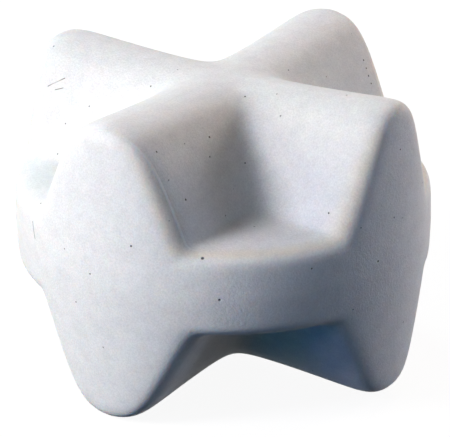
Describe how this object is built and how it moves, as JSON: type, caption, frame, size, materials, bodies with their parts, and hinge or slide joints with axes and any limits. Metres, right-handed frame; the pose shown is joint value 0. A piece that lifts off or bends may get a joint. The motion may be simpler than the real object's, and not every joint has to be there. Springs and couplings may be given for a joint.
{
  "type": "magnetic stir bar",
  "caption": "White double-cross magnetic stir bar: a round band with a raised cross of rounded ridges above and below, moulded over a sealed rod magnet",
  "frame": {"origin": "centre of the footprint, at the level of the four lower lobe tips", "axes": "+Z is the spin axis, up; +X runs along the wider ridge and the magnet; -X and -Y face the viewer of the picture"},
  "size_m": [0.0094, 0.0094, 0.0068],
  "materials": {
    "jacket_polymer": "white moulded fluoropolymer, satin, faintly granular, with fine dark specks",
    "magnet_alloy": "ground alnico, dull grey"
  },
  "bodies": {
    "root": {"jacket": "jacket_polymer", "magnet": "magnet_alloy"}
  },
  "joints": []
}
